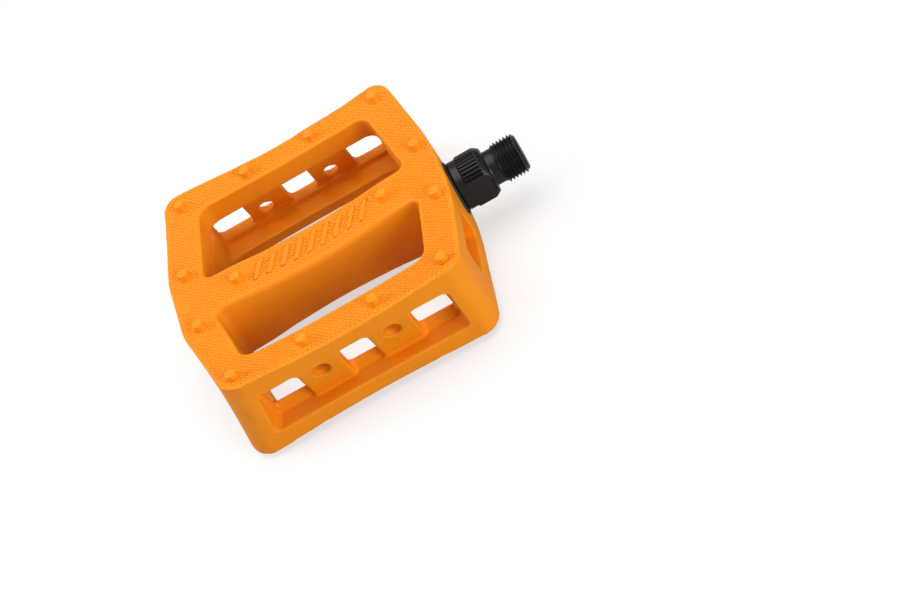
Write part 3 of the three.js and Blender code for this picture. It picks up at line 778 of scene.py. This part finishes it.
# name, piece it replaces, what it moves with, look, sides, profile of (x, radius[, fillet])
BEARING_PIECES = (
    ("inner_cup_race", "inner_bearing_cup", "pedal", "bearing_steel", 72, [
        (37.2, 6.3, 0.2), (38.3, 6.3, 0.3), (38.9, 6.9), (39.4, 7.6), (39.9, 8.15), (40.4, 8.5),
        (41.2, 8.68), (45.4, 8.7, 0.2), (45.4, 9.7, 0.25), (37.2, 9.7, 0.3)]),
    ("outer_cup_race", "outer_bearing_cup", "pedal", "bearing_steel", 72, [
        (-39.0, 8.3, 0.2), (-39.0, 9.2, 0.3), (-32.4, 9.2, 0.3), (-32.4, 6.3, 0.2),
        (-33.1, 6.3, 0.2), (-33.6, 6.9), (-34.0, 7.5), (-34.5, 7.95), (-35.2, 8.25)]),
    ("dust_seal_lip", "dust_seal", "pedal", "seal_rubber", 96, [
        (45.7, 7.75, 0.1), (45.7, 9.7, 0.15), (49.7, 9.7, 0.3), (50.3, 9.15, 0.35),
        (50.3, 8.7, 0.15), (49.8, 8.55, 0.2), (49.9, 8.1, 0.15), (50.3, 7.9, 0.1),
        (50.3, 7.75, 0.1), (49.2, 8.3, 0.3), (46.6, 8.3, 0.3)]),
    ("adjusting_cone_race", "adjusting_cone", "spindle_assembly", "bearing_steel", 72, [
        (-41.7, 3.5, 0.15), (-41.7, 5.9, 0.3), (-38.4, 5.9, 0.4), (-37.6, 5.35), (-36.8, 4.85),
        (-36.0, 4.5), (-35.2, 4.3, 0.1), (-35.2, 3.5, 0.1)]),
)
for name, replaced, rides, look, sides, profile in BEARING_PIECES:
    fit(lathe(name, profile, sides), look, rides, replaces=replaced)


# ---- bearing balls --------------------------------------------------------------------------------
BALL_RADIUS = 1.5875


def build_ball(name, centre):
    bm = bmesh.new()
    bmesh.ops.create_icosphere(bm, subdivisions=4, radius=BALL_RADIUS / 1000)
    bmesh.ops.translate(bm, verts=bm.verts, vec=centre)
    mesh = bpy.data.meshes.new(name)
    bm.to_mesh(mesh)
    bm.free()
    shade(mesh, True)
    return link_mesh(name, mesh)


for name, node in frame["nodes"].items():
    if "ball" in name:
        ball = build_ball(name + "_polished", sum(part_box(name), Vector()) / 2)
        fit(ball, "ball_steel", node["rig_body"], replaces=name)

# ---- end cap --------------------------------------------------------------------------------------
BAR_HALF = 0.9  # half-width of a raised bar
BARS_RADIUS = 8.4  # circle that the bars' ends keep within
# (x, inset of the outline) from the bar's foot to its softened face
BAR_LAYERS = ((-50.2, 0.0), (-50.72, 0.0), (-50.84, 0.05), (-50.9, 0.17))
CAP_PROFILE = [
    (-50.25, 0.0), (-50.4, 8.7, 0.3), (-50.4, 10.4, 0.3), (-48.2, 10.62, 0.15), (-48.2, 9.15, 0.1),
    (-46.9, 9.12, 0.2), (-46.9, 7.9, 0.15), (-48.0, 7.9, 0.2), (-48.0, 0.0),
]
RING_PROFILE = [(-50.9, 9.2, 0.15), (-50.9, 10.05, 0.15), (-50.3, 10.1), (-50.3, 9.15)]


def build_bar(name, y):
    """A straight raised bar along Z with rounded ends, on the face of the end cap."""
    half = math.sqrt(BARS_RADIUS ** 2 - (abs(y) + BAR_HALF) ** 2)
    ring = [(y + s * BAR_HALF * math.cos(t), s * (half - BAR_HALF + BAR_HALF * math.sin(t)))
            for s in (1, -1) for t in np.linspace(0, math.pi, 13)]
    count = len(ring)
    verts = [(x, y + (a - y) * (1 - inset / BAR_HALF), b * (1 - inset / half))
             for x, inset in BAR_LAYERS for a, b in ring]
    faces = []
    for k in range(3):
        for i in range(count):
            low, low_next = k * count + i, k * count + (i + 1) % count
            faces.append((low, low_next, count + low_next, count + low))
    faces += [tuple(range(3 * count, 4 * count)), tuple(range(count - 1, -1, -1))]
    return make_sharpened(name, verts, faces)


fit(lathe("end_cap_plug", CAP_PROFILE, 96), "black_plastic", "pedal", replaces="end_cap")
fit(lathe("end_cap_ring", RING_PROFILE, 96), "grey_relief", "pedal")
for i, y in enumerate((-5.0, 0.0, 5.0)):
    fit(build_bar("end_cap_bar_%d" % (i + 1), y), "grey_relief", "pedal")

for name in ("lock_washer", "lock_nut"):
    dress(frame["nodes"][name], "zinc_steel")


# ---- floor, light, camera, in metres --------------------------------------------------------------
def build_floor():
    z = min(CAD_BOX[0][2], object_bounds()[0][2]) - 0.00002
    mesh = bpy.data.meshes.new("studio_floor")
    mesh.from_pydata([(-3, -3, z), (3, -3, z), (3, 3, z), (-3, 3, z)], [], [(0, 1, 2, 3)])
    floor = link_mesh("studio_floor", mesh)
    mesh.materials.append(floor_paper("pale_floor"))


def area(name, where, size, power):
    """A rectangular light at a place from the body's middle, aimed at it."""
    data = bpy.data.lights.new(name, "AREA")
    data.shape = "RECTANGLE"
    data.size, data.size_y = size
    data.energy = power
    ob = bpy.data.objects.new(name, data)
    scene.collection.objects.link(ob)
    ob.location = Vector((BODY_X / 1000.0, 0, 0)) + Vector(where)
    ob.rotation_euler = (-Vector(where)).to_track_quat("-Z", "Y").to_euler()


def build_camera():
    data = bpy.data.cameras.new("camera")
    data.lens, data.sensor_width, data.sensor_fit = 96.0, 36.0, "HORIZONTAL"
    data.clip_start, data.clip_end = 0.01, 20
    camera = bpy.data.objects.new("camera", data)
    scene.collection.objects.link(camera)
    across = Vector((0.868772, -0.261693, -0.420419))
    up = Vector((0.485690, 0.615956, 0.620245))
    back = Vector((0.096646, -0.743044, 0.662227))
    turn = Matrix((across, up, back)).transposed().to_4x4()
    place = (BODY_X / 1000.0 + 0.106694, -0.612081, 0.503520)
    camera.matrix_world = Matrix.Translation(place) @ turn
    scene.camera = camera


build_floor()
scene = bpy.context.scene
scene.view_settings.view_transform = "Standard"
scene.world = bpy.data.worlds.new("studio")
scene.world.use_nodes = True
background = scene.world.node_tree.nodes["Background"]
background.inputs["Color"].default_value = (1, 1, 1, 1)
background.inputs["Strength"].default_value = 0.24
area("overhead", where=(0.05, 0.10, 0.9), size=(1.0, 1.0), power=7.3)
area("left_back", where=(-0.9, 0.3, 0.42), size=(0.5, 0.5), power=5.4)
area("front_fill", where=(0.70, -0.85, 0.30), size=(0.8, 0.5), power=8.0)
build_camera()
